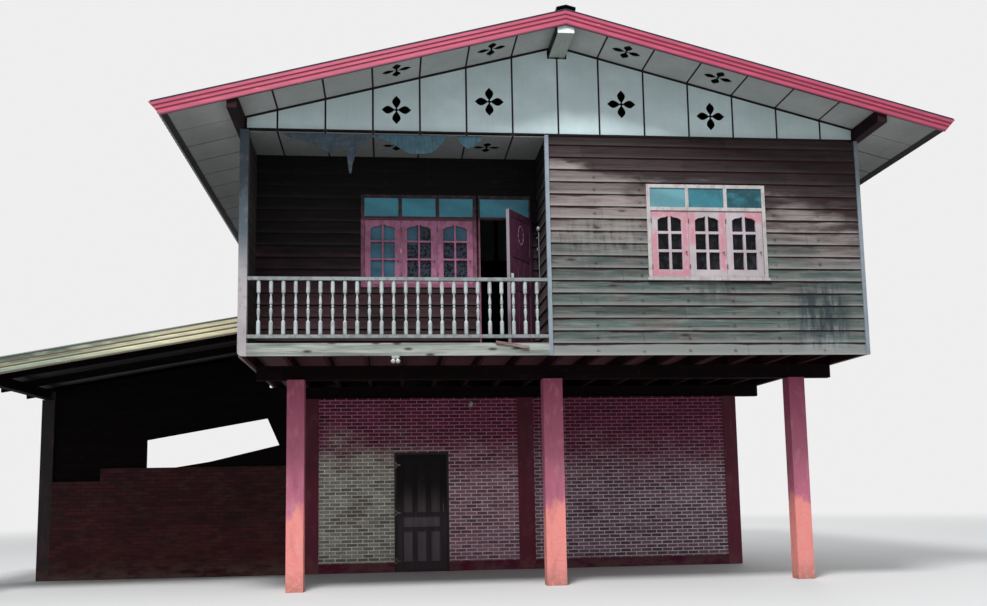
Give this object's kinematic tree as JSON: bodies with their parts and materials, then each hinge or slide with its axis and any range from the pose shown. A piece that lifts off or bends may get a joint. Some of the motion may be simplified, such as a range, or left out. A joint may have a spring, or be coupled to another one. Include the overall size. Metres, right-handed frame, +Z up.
{
  "type": "timber stilt house",
  "caption": "Timber house on posts with a recessed veranda, ornamental gable panels, a brick room below, a hinged ground door and an open lean-to.",
  "frame": {"origin": "centre of the foot of the front middle post, on the ground", "axes": "+X along the front to the right, +Y from the front to the back, +Z up"},
  "size_m": [13.054, 9.2, 7.2533],
  "materials": {
    "salmon_render": "matt painted render",
    "shaded_render": "matt painted render",
    "concrete": "rough",
    "maroon_brick": "matt, fired",
    "framing_timber": "rough sawn, dark",
    "floor_timber": "rough sawn, reddish",
    "grey_edge_board": "weathered paint",
    "wall_boards": "weathered, bare",
    "dark_wall_boards": "weathered, in shade",
    "chalky_window_paint": "chalky paint",
    "pink_window_paint": "worn paint",
    "maroon_door_paint": "worn paint",
    "dark_door_paint": "worn paint",
    "grey_rail_paint": "worn paint",
    "teal_glass": "clear, tinted",
    "window_glass": "clear",
    "gable_board": "pale fibre-cement sheet",
    "soffit_board": "weathered fibre-cement sheet",
    "pink_fascia_paint": "gloss paint, worn",
    "lean_to_paint": "worn paint",
    "roof_sheet_steel": "dull",
    "ridge_metal": "dull",
    "hinge_steel": "dull"
  },
  "bodies": {
    "house": {"ground_slab": "concrete", "front_posts": "salmon_render", "middle_posts": "shaded_render", "rear_posts": "shaded_render", "main_beams": "framing_timber", "floor_joists": "floor_timber", "floor_boards": "floor_timber", "front_floor_edge": "grey_edge_board", "side_floor_edges": "grey_edge_board", "brick_wall_left_of_door": "maroon_brick", "brick_wall_right_of_door": "maroon_brick", "brick_wall_over_door": "maroon_brick", "front_right_brick_wall": "maroon_brick", "side_brick_walls": "maroon_brick", "back_brick_walls": "maroon_brick", "ground_door_frame": "dark_door_paint", "hinge_frame_halves": "hinge_steel", "veranda_corner_post": "grey_rail_paint", "corner_posts": "wall_boards", "left_side_wall": "wall_boards", "right_side_wall": "wall_boards", "back_wall": "wall_boards", "front_room_wall": "wall_boards", "return_wall": "dark_wall_boards", "veranda_back_wall": "dark_wall_boards", "front_window_frame": "chalky_window_paint", "front_window_leaves": "chalky_window_paint", "veranda_window_frame": "maroon_door_paint", "veranda_window_leaves": "pink_window_paint", "veranda_door_leaf": "maroon_door_paint", "side_and_back_windows": "chalky_window_paint", "transom_glass": "teal_glass", "leaf_glass": "window_glass", "veranda_rails": "grey_rail_paint", "balusters": "grey_rail_paint", "veranda_ceiling": "soffit_board", "ceiling_battens": "framing_timber", "gable_panels": "gable_board", "gable_studs": "framing_timber", "gable_soffit_panels": "soffit_board", "soffit_battens": "framing_timber", "eave_soffit_panels": "soffit_board", "ridge_beam": "grey_edge_board", "wall_plates": "framing_timber", "rafters": "framing_timber", "purlins": "framing_timber", "roof_sheets": "roof_sheet_steel", "ridge_cap": "ridge_metal", "gable_fascias": "pink_fascia_paint", "eave_fascias": "framing_timber", "lean_to_posts": "shaded_render", "lean_to_beams": "framing_timber", "lean_to_rafters": "framing_timber", "lean_to_roof_sheet": "roof_sheet_steel", "lean_to_fascia": "lean_to_paint", "lean_to_low_wall": "maroon_brick", "lean_to_infill": "framing_timber"},
    "ground_door": {"ground_door_leaf": "dark_door_paint", "ground_door_handle": "hinge_steel", "hinge_leaf_halves": "hinge_steel"}
  },
  "joints": [
    {"name": "ground_door_hinge", "type": "hinge", "parent": "house", "child": "ground_door", "pos_m": [-2.093, 2.7085, 0], "axis": [0, 0, -1], "range_deg": [0, 100]}
  ]
}
